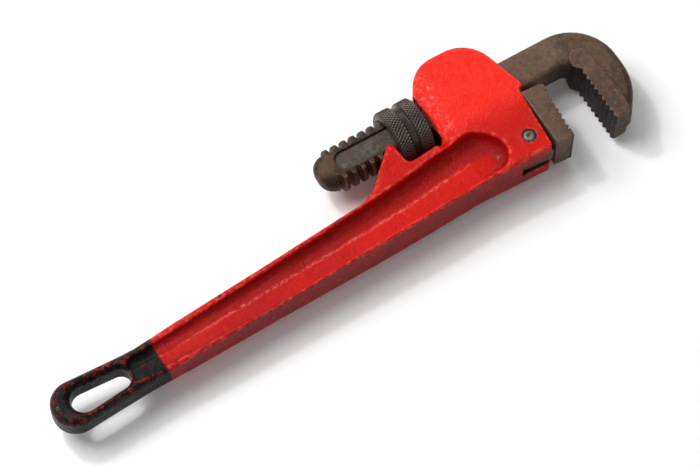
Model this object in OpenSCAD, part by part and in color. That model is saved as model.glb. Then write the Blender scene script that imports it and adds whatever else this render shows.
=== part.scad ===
// Heavy pipe wrench, lying on its side.
// +X runs along the hook jaw's shank towards the jaws, +Y points to the nut's open side,
// +Z is up. The drawing is made about the middle of the nut, with the shank's axis on X,
// and set down at the end so that the origin is the middle of the underside.

/* [Handle] */
// Distance from the middle of the nut to the end of the handle
handle_reach = 281; // [240:1:340]
// Distance of the handle end's middle below the shank's axis
handle_drop = 58.4; // [54:0.2:62]
// Height of the handle at its waist
waist_h = 25.2; // [22:0.2:28]
// Height of the handle where it meets the spur
root_h = 30.4; // [28:0.2:34]
// Width of the loop at the handle's end
loop_w = 32.4; // [29:0.2:40]
// Thickness of the handle's end
end_t = 19; // [16:0.5:22]
// Thickness of the web between the handle's two flanges
web_t = 11; // [8:0.5:13]
// Length of the hang slot
slot_len = 39.5; // [33:0.5:45]
// Width of the hang slot at its outer end
slot_w = 17.4; // [15:0.2:19]
// Width of the hang slot at its inner end
slot_tip_w = 13.8; // [11:0.2:15]

/* [Housing] */
// Thickness of the housing
housing_t = 32; // [31:0.1:38.5]
// Thickness of the cheeks beside the nut
cheek_t = 28.4; // [27:0.2:31]
// Height of the housing's dome above the shank's axis
dome_h = 31.3; // [31:0.2:36]
// Wall between the nut's notch and the spur
notch_gap_rear = 0.9; // [0.3:0.1:1.5]
// Free space between the nut and the housing's rear face
notch_gap_front = 3.2; // [2.5:0.1:5]
// Depth of the nut's notch under the nut
notch_gap_under = 4.4; // [3:0.2:6]
// Length of the housing in front of its rear face
housing_len = 57.1; // [55:0.1:65]

/* [Shank] */
// Thickness of the shank across its flat sides
shank_t = 18; // [16:0.5:19]
// Radius of the shank at the thread's root
root_r = 12; // [11.6:0.1:12.6]
// Depth of the thread
thread_depth = 2.6; // [2:0.1:2.8]
// Pitch of the thread
pitch = 6.6; // [5.6:0.1:8]
// Where a thread ridge crosses the shank's upper edge
thread_phase = 0.9; // [0:0.1:6]
// Distance from the middle of the nut back to the shank's end
shank_tail = 63.4; // [60:0.2:70]
// Length of thread in front of the nut's middle
thread_front = 42; // [40:0.5:44]
// Depth of the panel in each side of the shank
panel_depth = 2; // [1:0.2:3]
// Side clearance between the shank and the housing
shank_gap = 0.6; // [0.3:0.1:1]
// Clearance between the thread crests and the housing
crest_gap = 0.5; // [0.3:0.1:1]
// Angle through which the hook jaw rocks
rock_angle = 4; // [3:0.5:4.5]

/* [Nut] */
// Radius of the nut over its knurling
nut_r = 20; // [19:0.2:21]
// Length of the nut
nut_len = 24; // [23:0.5:27]
// Width of the smooth groove between the knurled bands
groove_w = 4.2; // [3:0.2:6]
// Depth of that groove
groove_depth = 1.5; // [1:0.1:2]
// Clearance all round the thread
thread_gap = 0.3; // [0.2:0.05:0.4]

/* [Jaws] */
// Distance between the tooth tips, measured along the shank, half way down the jaws
mouth = 26.8; // [20:0.1:40]
// Pitch of the jaw teeth
tooth_pitch = 4.4; // [3.6:0.1:5]
// Depth of the jaw teeth
tooth_depth = 1.6; // [1.2:0.1:2]
// Thickness of both toothed jaws
jaw_t = 29.4; // [26:0.2:33]
// Length of the heel jaw
heel_len = 42.2; // [40:0.2:44]
// Depth of the heel jaw to its tooth tips
heel_depth = 15.6; // [14:0.2:19]
// Forward lean of the heel jaw
heel_lean = 4.3; // [3:0.1:6]
// Thickness of the heel jaw's tang
tang_t = 11; // [9:0.5:13]
// Clearance of the tang in its slot, each side
tang_gap = 0.15; // [0.1:0.05:0.3]
// Height of the hook jaw's neck above the shank's axis
neck_top = 10.8; // [10:0.2:11.4]
// Depth of the neck below the shank's axis
neck_drop = 13.8; // [13:0.2:14.2]
// Distance of the hook jaw's tip below the shank's axis
hook_drop = 64.4; // [62:0.2:70]
// Depth of the hook jaw behind its teeth
hook_back = 27.4; // [24:0.2:33]
// Thickness of the hook jaw's back
back_t = 23; // [20:0.5:26]
// Diameter of the heel jaw's pin
pin_d = 8; // [6.6:0.1:9.6]
// Clearance round the pin
pin_gap = 0.02; // [0.01:0.01:0.05]

/* [Springs] */
// Outside diameter of the coil spring
coil_d = 8.4; // [7.2:0.2:9]
// Wire diameter of the coil spring
coil_wire = 1.3; // [1:0.1:1.4]
// Turns of the coil spring
coil_turns = 5; // [4:0.5:6]
// Height of the pocket's roof over the coil spring
coil_roof = 3.8; // [3:0.2:5]
// Length of the flat spring
leaf_len = 36; // [30:1:37]
// Width of the flat spring
leaf_w = 12; // [10:0.5:14]
// Thickness of the flat spring
leaf_t = 0.8; // [0.6:0.1:1]
// Diameter of the rivet between the two springs
rivet_d = 3; // [2.5:0.1:3.6]

/* [Hidden] */
$fn = 64;
arc_step = 10;      // degrees between the points of a rounded corner
far = 200;          // longer than any cut has to be

crest_r = root_r + thread_depth;
ridge_top = pitch / 3;          // width of a thread ridge at its crest
ridge_foot = pitch * 0.59;      // and at its root
lead = atan(pitch / (2 * PI * (root_r + thread_depth / 2)));
channel_t = shank_t + 2 * shank_gap;

// Housing
rear_x = nut_len / 2 + notch_gap_front;      // the face that the nut bears on
spur_x = -nut_len / 2 - notch_gap_rear;
notch_y = -nut_r - notch_gap_under;
notch_tilt = 4.8;                            // the notch's floor rises towards the jaws
front_x = rear_x + housing_len - 1.4;        // front face at the heel jaw's foot
floor_y = -(crest_r + crest_gap);            // the channel's floor
heel_y = floor_y - 2.2 - heel_len - 1;       // the heel jaw's foot
casting_y = heel_y - 1.3;                    // underside of the housing
step_y = heel_y + heel_len + 1.7;            // step over the heel jaw
nose_y = step_y + 1.8;
front_slope = tan(heel_lean);
function front_at(y) = front_x + (y - casting_y) * front_slope;

// Handle
waist_x = -handle_reach + 59;
root_x = -45;
loop_y = -handle_drop;
loop_r = loop_w / 2;
waist_y = loop_y + 0.4;
end_r = loop_r * 0.98 * tan(45 - atan((loop_r - waist_h / 2 + 0.4) / 59) / 2);
root_top = waist_y + waist_h / 2 + (root_x - waist_x) * tan(3.75);
root_bottom = root_top - root_h;
taper_x = -40;                               // the cheeks' full thickness starts here

// Hang slot
slot_x = -handle_reach + 12.6;
slot_a = [slot_x + slot_w / 2, loop_y - 0.4];
slot_b = [slot_x + slot_len - slot_tip_w / 2, loop_y];

// Heel jaw pin, in the heel jaw's own frame
pin_pos = [-10.3, 11.7];

// Hook jaw
tooth_x = front_at(-40) + (heel_depth / cos(heel_lean)) + mouth;  // tips of the hook's teeth
hook_x = tooth_x + hook_back + tooth_depth;                       // the hook's outermost face
hook_teeth = floor((hook_drop - 24.6) / tooth_pitch);
heel_teeth = floor((heel_len - 11) / tooth_pitch);

// Springs
spring_x = rear_x + 24.8;
leaf_y = crest_r + 0.05;
coil_y = leaf_y + leaf_t;
coil_top = dome_h - coil_roof;
function roof_at(x) = crest_r + crest_gap + x * tan(rock_angle);

// The part's middle and underside
mid_x = (hook_x - handle_reach) / 2;
mid_y = (dome_h - max(handle_drop + loop_r, -casting_y, hook_drop)) / 2;

// ---- helpers ----

function unit(v) = v / norm(v);

// Points of one rounded corner at b, between a and c
function corner(a, b, c, r) =
    r == 0 ? [b] :
    let (u = unit(a - b), w = unit(c - b), half = acos(u * w) / 2,
         o = b + unit(u + w) * r / sin(half),
         p = b + u * r / tan(half) - o, q = b + w * r / tan(half) - o,
         from = atan2(p.y, p.x),
         sweep = (atan2(q.y, q.x) - from + 540) % 360 - 180,
         n = max(1, ceil(abs(sweep) / arc_step)))
    [for (i = [0:n]) o + r * [cos(from + sweep * i / n), sin(from + sweep * i / n)]];

// A closed outline from corners [x, y, radius]
function rounded(v) =
    [for (i = [0:len(v) - 1])
        let (n = len(v), a = v[(i + n - 1) % n], b = v[i], c = v[(i + 1) % n])
        each corner([a.x, a.y], [b.x, b.y], [c.x, c.y], b.z)];

module plate(t) translate([0, 0, -t / 2]) linear_extrude(t) children();

module both_sides() { children(); mirror([0, 0, 1]) children(); }

// A body of revolution about the X axis, from an outline of [radius, x]
module turned() rotate([0, 90, 0]) rotate_extrude() children();

module set_down() translate([-mid_x, -mid_y, nut_r]) children();

// The heel jaw's frame: its foot at the housing's front face
module heel_frame() translate([front_at(heel_y), heel_y, 0]) rotate([0, 0, -heel_lean]) children();

module tooth_row(n) polygon([
    [-2, 0], [0, 0],
    for (i = [0:n - 1]) each [[tooth_depth, (i + 0.5) * tooth_pitch], [0, (i + 1) * tooth_pitch]],
    [-2, n * tooth_pitch]]);

// ---- handle and housing casting ----

module casting_outline() polygon(rounded([
    [-handle_reach, loop_y + loop_r, end_r],
    [waist_x, waist_y + waist_h / 2, 60],
    [root_x, root_top, 30],
    [spur_x - 0.8, root_top + (spur_x - 0.8 - root_x) * tan(44), 3],
    [spur_x + 0.5, notch_y - 0.5, 4],
    [rear_x, notch_y - 0.5 + (rear_x - spur_x - 0.5) * tan(notch_tilt), 4],
    [rear_x, dome_h, 22],
    [front_x - 5.4, dome_h, 24],
    [front_at(nose_y) + 4, nose_y, 1.5],
    [front_at(step_y), step_y, 0],
    [front_x, casting_y, 3],
    [rear_x + 4, casting_y + 0.6, 60],
    [root_x, root_bottom, 90],
    [waist_x, waist_y - waist_h / 2, 60],
    [-handle_reach, loop_y - loop_r, end_r]]));

// The casting's thickness along its length
module casting_side() {
    half = [[-handle_reach - 1, end_t], [waist_x, end_t], [taper_x, cheek_t],
            [rear_x + 4, cheek_t], [rear_x + 16, housing_t], [far, housing_t]] / 2;
    rotate([90, 0, 0]) plate(4 * far) polygon([
        for (p = half) [2 * p.x, p.y],
        for (i = [len(half) - 1:-1:0]) [2 * half[i].x, -half[i].y]]);
}

module hang_slot() {
    d = slot_b - slot_a;
    lean = acos((slot_w - slot_tip_w) / 2 / norm(d));
    n = atan2(d.y, d.x);
    up = [cos(n + lean), sin(n + lean)];
    down = [cos(n - lean), sin(n - lean)];
    plate(far) {
        translate(slot_a) circle(slot_w / 2);
        translate(slot_b) circle(slot_tip_w / 2);
        polygon([slot_a, slot_a + up * slot_w / 2, slot_b + up * slot_tip_w / 2, slot_b,
                 slot_b + down * slot_tip_w / 2, slot_a + down * slot_w / 2]);
    }
}

// One length of the hollow beside the web: its floor, and its outline at the rim's level
module trough(floor_line, rim_line) hull() {
    translate([0, 0, web_t / 2]) linear_extrude(0.01) polygon(rounded(floor_line));
    translate([0, 0, 20]) linear_extrude(0.01) polygon(rounded(rim_line));
}

module hollow() {
    a = waist_x + 5;
    b = root_x - 5;
    ya = waist_y + waist_h / 2 - 8.1;
    yb = root_top - 9.7;
    yc = root_bottom + 6.2;
    yd = waist_y - waist_h / 2 + 4.3;
    trough([[a, ya, 5], [b, yb, 0], [b, yc, 0], [a, yd, 5]],
           [[a - 9, ya + 13, 9], [b, yb + 13, 0], [b, yc - 7.2, 0], [a - 9, yd - 7.2, 9]]);
    c = rear_x + 14.8;
    trough([[b - 2, yb, 0], [c, notch_y - 11.8, 9], [c, casting_y + 6.6, 9], [b - 2, yc, 0]],
           [[b - 2, yb + 13, 0], [c + 20, notch_y + 1, 21], [c + 20, casting_y - 0.6, 17],
            [b - 2, yc - 7.2, 0]]);
}

// Channel for the shank, through the housing and between the spur's two cheeks
module shank_channel() plate(channel_t) {
    polygon([[rear_x - 1, floor_y], [front_at(step_y) - 1.5, floor_y],
             [front_at(step_y) - 1.5, step_y - 0.2], [front_x + 40, step_y - 0.2],
             [front_x + 40, roof_at(front_x + 40)], [rear_x - 1, roof_at(rear_x - 1)]]);
    translate([root_x - 25, floor_y - 4.4]) square([rear_x - root_x + 24, 60]);
}

// Pockets for the two springs, in the channel's roof
module spring_pockets() {
    near = spring_x - leaf_len / 2 - 0.6 - coil_top * sin(rock_angle);
    end = spring_x + leaf_len / 2 + 0.6;
    plate(leaf_w + 0.6) polygon([
        [near, 0], [end, 0],
        [end, roof_at(end) + leaf_t + 0.6],
        [near, roof_at(near) + leaf_t + 0.6]]);
    translate([spring_x, 0, 0]) rotate([-90, 0, 0]) cylinder(d = coil_d + 1, h = coil_top);
}

module heel_slot() heel_frame() plate(tang_t + 2 * tang_gap)
    translate([pin_pos.x - 10.9, -20]) square([60, 46]);

module handle_housing() color("firebrick") difference() {
    intersection() {
        plate(2 * nut_r) casting_outline();
        casting_side();
    }
    hang_slot();
    both_sides() hollow();
    shank_channel();
    spring_pockets();
    heel_slot();
    heel_frame() translate(pin_pos) cylinder(d = pin_d + 2 * pin_gap, h = far, center = true);
}

// ---- heel jaw and its pin ----

module heel_jaw() color("saddlebrown") heel_frame() difference() {
    union() {
        plate(jaw_t) difference() {
            polygon(rounded([[0.1, 0, 0.5], [heel_depth, 0, 0.5], [heel_depth, heel_len, 3],
                             [0.1, heel_len, 0.5]]));
            translate([heel_depth, (heel_len - heel_teeth * tooth_pitch) / 2])
                mirror([1, 0]) tooth_row(heel_teeth);
        }
        plate(tang_t) polygon(rounded([[pin_pos.x - 10, 0.6, 3], [2, 0.6, 0], [2, 23, 0],
                                       [pin_pos.x - 10, 23, 8]]));
    }
    translate(pin_pos) cylinder(d = pin_d + 2 * pin_gap, h = far, center = true);
}

module heel_jaw_pin() color("dimgray") heel_frame() translate(pin_pos) rotate_extrude() polygon([
    [0, -housing_t / 2 - 0.4], [pin_d / 2 - 0.8, -housing_t / 2 - 0.4],
    [pin_d / 2, -housing_t / 2 + 0.4], [pin_d / 2, housing_t / 2 - 0.4],
    [pin_d / 2 - 0.8, housing_t / 2 + 0.4], [0, housing_t / 2 + 0.4]]);

// ---- hook jaw ----

// Thread ridges on the shank's upper (side = 1) and lower (side = -1) edges
module thread_ridges(side) {
    start = thread_phase + (side > 0 ? 0 : pitch / 2);
    first = ceil((-shank_tail + 9.5 - start) / pitch);
    last = floor((thread_front - ridge_foot / 2 - start) / pitch);
    for (k = [first:last])
        translate([start + k * pitch, 0, 0]) rotate([0, side * lead, 0]) rotate([0, 90, 0])
            rotate_extrude(angle = 110, start = side * 90 - 55) polygon([
                [root_r - 0.8, -ridge_foot / 2 - 0.2], [root_r, -ridge_foot / 2],
                [crest_r, -ridge_top / 2], [crest_r, ridge_top / 2],
                [root_r, ridge_foot / 2], [root_r - 0.8, ridge_foot / 2 + 0.2]]);
}

module shank() {
    round_x = -shank_tail + root_r;
    intersection() {
        union() {
            turned() polygon(rounded([[0, -shank_tail, 0], [root_r, -shank_tail, 9],
                                      [root_r, thread_front + 4, 0], [0, thread_front + 4, 0]]));
            thread_ridges(1);
            thread_ridges(-1);
        }
        turned() polygon([[0, -shank_tail - 1], [root_r + 0.1, -shank_tail - 1],
                          [root_r + 0.1, round_x - 2.6], [crest_r, round_x + 3.4],
                          [crest_r, far], [0, far]]);
        cube([4 * far, far, shank_t], center = true);
    }
}

module hook_outline(top) polygon(rounded([
    [thread_front, top, 0],
    [hook_x, top, 33],
    [hook_x, -hook_drop + 20.7, 41],
    [hook_x - 15.6, -hook_drop, 4],
    [tooth_x + tooth_depth, -hook_drop, 0],
    [tooth_x + tooth_depth, -hook_drop + hook_teeth * tooth_pitch + 0.4, 0],
    [tooth_x - 2.6, -neck_drop - 5.6, 2],
    [tooth_x - 3.2, -neck_drop, 4.5],
    [thread_front, -neck_drop, 0]]));

// The part of the hook jaw that carries the teeth is its widest
module tooth_block() polygon(rounded([
    [tooth_x - 2.4, -9.6, 6], [tooth_x + 11.2, -9.6, 6],
    [tooth_x + 14, -hook_drop + 14, 10], [tooth_x + 12.2, -hook_drop, 4],
    [tooth_x + tooth_depth, -hook_drop, 0],
    [tooth_x + tooth_depth, -hook_drop + hook_teeth * tooth_pitch + 0.4, 0],
    [tooth_x - 2.6, -neck_drop - 5.6, 2]]));

module hook_jaw() color("sienna") difference() {
    union() {
        shank();
        plate(shank_t) hook_outline(neck_top);
        plate(back_t) intersection() {
            hook_outline(neck_top);
            translate([tooth_x - 10, -far]) square([far, 2 * far]);
        }
        plate(jaw_t) {
            tooth_block();
            translate([tooth_x + tooth_depth, -hook_drop])
                mirror([1, 0]) tooth_row(hook_teeth);
        }
    }
    both_sides() translate([0, 0, shank_t / 2 - panel_depth]) linear_extrude(10)
        polygon(rounded([[-shank_tail + 13.4, 6.4, 6], [thread_front - 2, 6.4, 6],
                         [thread_front - 2, -6.4, 6], [-shank_tail + 13.4, -6.4, 6]]));
}

// ---- adjusting nut ----

// The nut's own thread: one helical ridge that fills the space between the shank's ridges
module nut_thread() {
    steps = 36;
    first = ceil((-nut_len / 2 + 2.9 - thread_phase - pitch / 2) / pitch);
    x0 = thread_phase + pitch / 2 + first * pitch;
    turns = (nut_len / 2 - 3.4 - x0) / pitch;
    n = floor(turns * steps);
    tip_r = root_r + thread_gap;
    foot_r = crest_r + thread_gap + 0.7;
    tip = (pitch - ridge_foot) / 2 - thread_gap;
    foot = (pitch - ridge_top) / 2 - thread_gap + 0.1;
    points = [for (i = [0:n]) let (a = 360 * i / steps, x = x0 + pitch * i / steps)
        each [[x - tip, tip_r * cos(a), tip_r * sin(a)], [x + tip, tip_r * cos(a), tip_r * sin(a)],
              [x + foot, foot_r * cos(a), foot_r * sin(a)],
              [x - foot, foot_r * cos(a), foot_r * sin(a)]]];
    faces = [[0, 1, 2], [0, 2, 3], [4 * n + 2, 4 * n + 1, 4 * n], [4 * n + 3, 4 * n + 2, 4 * n],
        for (i = [0:n - 1], j = [0:3]) let (a = 4 * i + j, b = 4 * i + (j + 1) % 4)
            each [[a, a + 4, b], [b, a + 4, b + 4]]];
    polyhedron(points, faces);
}

module adjusting_nut() color("dimgray") {
    h = nut_len / 2;
    g = groove_w / 2;
    bore = crest_r + thread_gap;
    turned() polygon([
        [bore + 0.8, -h], [nut_r - 1.5, -h], [nut_r, -h + 1.2],
        [nut_r, -g - 0.5], [nut_r - groove_depth, -g], [nut_r - groove_depth, g], [nut_r, g + 0.5],
        [nut_r, h - 1.2], [nut_r - 1.5, h], [bore + 0.8, h],
        [bore, h - 0.8], [bore, -h + 0.8]]);
    nut_thread();
}

// ---- springs over the shank ----

module flat_spring() color("slategray") translate([spring_x, leaf_y, 0]) difference() {
    plate(leaf_w) polygon([
        [-leaf_len / 2, 0.6], [-leaf_len / 2 + 3, 0], [leaf_len / 2 - 3, 0], [leaf_len / 2, 0.6],
        [leaf_len / 2, 0.6 + leaf_t], [leaf_len / 2 - 3, leaf_t], [-leaf_len / 2 + 3, leaf_t],
        [-leaf_len / 2, 0.6 + leaf_t]]);
    rotate([-90, 0, 0]) cylinder(d = rivet_d + 2 * pin_gap, h = 3, center = true);
}

module spring_rivet() color("silver") translate([spring_x, leaf_y, 0]) rotate([-90, 0, 0])
    rotate_extrude() polygon([[0, 0], [rivet_d / 2, 0], [rivet_d / 2, leaf_t],
                              [rivet_d / 2 + 0.9, leaf_t], [rivet_d / 2 + 0.5, leaf_t + 1],
                              [0, leaf_t + 1]]);

module coil_spring() color("slategray") {
    steps = 20;
    sides = 8;
    n = coil_turns * steps;
    r = (coil_d - coil_wire) / 2;
    y0 = coil_y + coil_wire / 2;
    rise = coil_top - coil_y - coil_wire;
    points = [for (i = [0:n]) let (a = 360 * i / steps)
        for (j = [0:sides - 1]) let (b = 360 * j / sides, q = r + coil_wire / 2 * cos(b))
            [spring_x + q * cos(a), y0 + rise * i / n + coil_wire / 2 * sin(b), -q * sin(a)]];
    faces = [[for (j = [sides - 1:-1:0]) j], [for (j = [0:sides - 1]) sides * n + j],
        for (i = [0:n - 1], j = [0:sides - 1])
            let (a = sides * i + j, b = sides * i + (j + 1) % sides)
            each [[a, b, a + sides], [b, b + sides, a + sides]]];
    polyhedron(points, faces);
}

set_down() {
    handle_housing();
    heel_jaw();
    heel_jaw_pin();
    hook_jaw();
    adjusting_nut();
    flat_spring();
    coil_spring();
    spring_rivet();
}
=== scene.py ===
"""Looks for the pipe wrench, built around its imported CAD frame.

Shapes are worked out in millimetres about the middle of the adjusting nut: +X along the hook
jaw's shank towards the jaws, +Y towards the nut's open side, +Z up out of the wrench's flat side.
Each casting or forging is a signed distance field turned into a mesh, so that its edges are round.
"""
import math

import bmesh
import bpy
import numpy as np
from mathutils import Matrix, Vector


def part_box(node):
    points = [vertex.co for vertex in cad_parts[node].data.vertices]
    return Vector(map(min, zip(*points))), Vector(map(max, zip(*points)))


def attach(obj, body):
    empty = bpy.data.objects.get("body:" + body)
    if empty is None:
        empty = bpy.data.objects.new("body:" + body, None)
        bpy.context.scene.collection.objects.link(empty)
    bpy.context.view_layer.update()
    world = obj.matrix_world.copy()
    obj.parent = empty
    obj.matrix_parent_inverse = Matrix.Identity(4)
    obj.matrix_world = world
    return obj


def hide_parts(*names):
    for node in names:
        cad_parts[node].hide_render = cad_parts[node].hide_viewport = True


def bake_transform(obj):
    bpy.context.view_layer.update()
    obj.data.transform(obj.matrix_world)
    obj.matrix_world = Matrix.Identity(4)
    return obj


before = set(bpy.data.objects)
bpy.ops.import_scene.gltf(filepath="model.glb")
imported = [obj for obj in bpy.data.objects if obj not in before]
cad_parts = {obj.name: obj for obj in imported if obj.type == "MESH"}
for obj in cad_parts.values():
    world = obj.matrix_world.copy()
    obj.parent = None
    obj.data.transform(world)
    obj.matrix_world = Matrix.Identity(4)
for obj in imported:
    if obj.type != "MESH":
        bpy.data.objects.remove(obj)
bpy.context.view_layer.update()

MM = 0.001


def box_mm(node):
    """A node's box as two corners in millimetres, in the row frame."""
    lo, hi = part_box(node)
    return np.array(lo) / MM, np.array(hi) / MM


nut_lo, nut_hi = box_mm("adjusting_nut")
CENTRE = (nut_lo + nut_hi) / 2          # the middle of the nut, in the row frame


def corners_of(node):
    """A node's box as two corners in millimetres about the nut."""
    lo, hi = box_mm(node)
    return lo - CENTRE, hi - CENTRE


cast_lo, cast_hi = corners_of("handle_housing")
hook_lo, hook_hi = corners_of("hook_jaw")

# ---------------------------------------------------------------- shapes in the plane


def rounded(corners, step=8.0):
    """A closed outline from corners (x, y, radius), with a point every step degrees of an arc."""
    out = []
    n = len(corners)
    for i, (x, y, r) in enumerate(corners):
        b = np.array([x, y], float)
        if r == 0:
            out.append(b)
            continue
        a = np.array(corners[i - 1][:2], float)
        c = np.array(corners[(i + 1) % n][:2], float)
        u = (a - b) / np.linalg.norm(a - b)
        w = (c - b) / np.linalg.norm(c - b)
        half = math.acos(max(-1.0, min(1.0, float(u @ w)))) / 2
        o = b + (u + w) / np.linalg.norm(u + w) * r / math.sin(half)
        p = b + u * r / math.tan(half) - o
        q = b + w * r / math.tan(half) - o
        t0 = math.degrees(math.atan2(p[1], p[0]))
        sweep = (math.degrees(math.atan2(q[1], q[0])) - t0 + 540) % 360 - 180
        k = max(1, math.ceil(abs(sweep) / step))
        for j in range(k + 1):
            t = math.radians(t0 + sweep * j / k)
            out.append(o + r * np.array([math.cos(t), math.sin(t)]))
    return np.array(out)


def outline_field(px, py, pts):
    """Signed distance to a closed outline, negative inside."""
    best = np.full(np.broadcast(px, py).shape, 1e9, np.float32)
    inside = np.zeros(best.shape, bool)
    a = pts
    b = np.roll(pts, -1, axis=0)
    for (ax, ay), (bx, by) in zip(a, b):
        ex, ey = bx - ax, by - ay
        t = np.clip(((px - ax) * ex + (py - ay) * ey) / max(ex * ex + ey * ey, 1e-9), 0, 1)
        best = np.minimum(best, (px - ax - t * ex) ** 2 + (py - ay - t * ey) ** 2)
        if ay != by:
            crosses = ((ay > py) != (by > py)) & (px < (bx - ax) * (py - ay) / (by - ay) + ax)
            inside ^= crosses
    d = np.sqrt(best)
    return np.where(inside, -d, d).astype(np.float32)


def box_field(px, py, x0, x1, y0, y1):
    """The field of an upright rectangle."""
    return np.maximum(np.maximum(x0 - px, px - x1), np.maximum(y0 - py, py - y1))


def slot_field(px, py, first, last):
    """The field of a slot whose two round ends are (x, y, radius)."""
    a, ra = np.array(first[:2]), first[2]
    b, rb = np.array(last[:2]), last[2]
    t = ((px - a[0]) * (b[0] - a[0]) + (py - a[1]) * (b[1] - a[1])) / ((b - a) @ (b - a))
    t = np.clip(t, 0, 1)
    return np.hypot(px - a[0] - t * (b[0] - a[0]), py - a[1] - t * (b[1] - a[1])) - (ra + (rb - ra) * t)


def smooth_step(lo, hi, v):
    """Runs smoothly from 0 at lo to 1 at hi. It falls instead where lo is the larger."""
    t = np.clip((v - lo) / (hi - lo), 0, 1)
    return t * t * (3 - 2 * t)


# ---------------------------------------------------------------- fields in space


def round_meet(a, b, r):
    """Where both fields are inside, with the edge between them rounded by r."""
    a, b = a + r, b + r
    return np.minimum(np.maximum(a, b), 0) + np.hypot(np.maximum(a, 0), np.maximum(b, 0)) - r


def slab(flat, z, half, r):
    """An outline's field given a thickness of 2 * half, its edges rounded by r."""
    return round_meet(flat, np.abs(z) - half, r)


def smooth_max(a, b, k):
    """The larger of two fields, blended where they differ by less than k."""
    h = np.maximum(k - np.abs(a - b), 0) / k
    return np.maximum(a, b) + h * h * k / 4


def smooth_min(a, b, k):
    return -smooth_max(-a, -b, k)


def grid(lo, hi, h):
    """Grid lines through a box that is even about z = 0. Only the upper half is worked out."""
    x = np.arange(lo[0] - 2 * h, hi[0] + 2 * h, h, dtype=np.float32)[:, None, None]
    y = np.arange(lo[1] - 2 * h, hi[1] + 2 * h, h, dtype=np.float32)[None, :, None]
    z = (np.arange(0, math.ceil(hi[2] / h) + 2, dtype=np.float32) * h + h / 2)[None, None, :]
    return x, y, z


def surface(f, lo, h):
    """A closed quad mesh of the surface where the field f is zero."""
    # One vertex for each cell that the surface cuts, at the mean of the cuts on its edges
    inside = f < 0
    n = np.zeros(tuple(s - 1 for s in f.shape), np.int8)
    for i in (0, 1):
        for j in (0, 1):
            for k in (0, 1):
                n += inside[i:f.shape[0] - 1 + i, j:f.shape[1] - 1 + j, k:f.shape[2] - 1 + k]
    cell = np.argwhere((n > 0) & (n < 8))
    number = np.full(n.shape, -1, np.int32)
    number[tuple(cell.T)] = np.arange(len(cell))
    total = np.zeros((len(cell), 3))
    count = np.zeros(len(cell))
    for axis in range(3):
        for i in (0, 1):
            for j in (0, 1):
                a = cell.copy()
                others = [k for k in range(3) if k != axis]
                a[:, others[0]] += i
                a[:, others[1]] += j
                b = a.copy()
                b[:, axis] += 1
                fa = f[tuple(a.T)].astype(float)
                fb = f[tuple(b.T)].astype(float)
                cut = (fa < 0) != (fb < 0)
                t = np.zeros(len(cell))
                t[cut] = fa[cut] / (fa[cut] - fb[cut])
                p = a.astype(float)
                p[:, axis] += t
                total[cut] += p[cut]
                count[cut] += 1
    verts = np.array(lo) + h * total / count[:, None]

    # One quad around each grid edge that the surface cuts
    quads = []
    for axis in range(3):
        u, v = (axis + 1) % 3, (axis + 2) % 3
        below = [slice(None)] * 3
        above = [slice(None)] * 3
        below[axis] = slice(0, -1)
        above[axis] = slice(1, None)
        e = np.argwhere(inside[tuple(below)] != inside[tuple(above)])
        out = inside[tuple(below)][tuple(e.T)]
        ring = []
        for du, dv in ((-1, -1), (0, -1), (0, 0), (-1, 0)):
            c = e.copy()
            c[:, u] += du
            c[:, v] += dv
            ring.append(number[tuple(c.T)])
        ring = np.array(ring).T
        ring[~out] = ring[~out][:, ::-1]
        quads.append(ring)
    return verts, np.concatenate(quads)


OFF_GRID = 0.002     # keeps flat faces from falling exactly on grid points


def body_from(name, f, x, y, z, h):
    """The object for a field worked out on the upper half of a grid of spacing h."""
    full = np.concatenate([f[:, :, ::-1], f], axis=2) + OFF_GRID
    lo = (float(x[0, 0, 0]), float(y[0, 0, 0]), -float(z[0, 0, -1]))
    verts, quads = surface(full, lo, h)
    return make_object(name, verts, quads)


def make_object(name, verts, quads):
    """An object from vertices in millimetres about the nut, in the row frame."""
    co = ((verts + CENTRE) * MM).astype(np.float32)
    me = bpy.data.meshes.new(name)
    me.vertices.add(len(co))
    me.vertices.foreach_set("co", co.ravel())
    me.loops.add(quads.size)
    me.loops.foreach_set("vertex_index", quads.astype(np.int32).ravel())
    me.polygons.add(len(quads))
    me.polygons.foreach_set("loop_start", np.arange(0, quads.size, quads.shape[1], dtype=np.int32))
    me.update(calc_edges=True)
    me.validate()
    me.shade_smooth()
    ob = bpy.data.objects.new(name, me)
    bpy.context.scene.collection.objects.link(ob)
    return ob


def places(ob):
    """The object's vertices in millimetres about the nut, as three arrays."""
    co = np.empty(len(ob.data.vertices) * 3, np.float32)
    ob.data.vertices.foreach_get("co", co)
    return (co.reshape(-1, 3) / MM - CENTRE).T


def store(ob, name, values):
    """Keeps one number for each vertex, which the materials read."""
    a = ob.data.attributes.new(name, "FLOAT", "POINT")
    a.data.foreach_set("value", np.asarray(values, np.float32))


def store_curvature(ob, rounds=3):
    """Stores how convex (+) or hollow (-) the surface is, in units of its edge length."""
    me = ob.data
    n = len(me.vertices)
    co = np.empty(n * 3, np.float32)
    me.vertices.foreach_get("co", co)
    co = co.reshape(-1, 3) / MM
    nor = np.empty(n * 3, np.float32)
    me.vertices.foreach_get("normal", nor)
    nor = nor.reshape(-1, 3)
    e = np.empty(len(me.edges) * 2, np.int32)
    me.edges.foreach_get("vertices", e)
    e = e.reshape(-1, 2)
    degree = np.bincount(e.ravel(), minlength=n).astype(np.float32)

    def average(v):
        s = np.stack([np.bincount(e[:, 0], v[e[:, 1], k], n) + np.bincount(e[:, 1], v[e[:, 0], k], n)
                      for k in range(v.shape[1])], 1)
        return s / degree[:, None]

    soft = co
    for _ in range(4 * rounds):
        soft = average(soft)
    curve = ((co - soft) * nor).sum(1)[:, None]
    for _ in range(rounds):
        curve = (curve + average(curve)) / 2
    store(ob, "edge", curve[:, 0])


# ---------------------------------------------------------------- the casting

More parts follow.
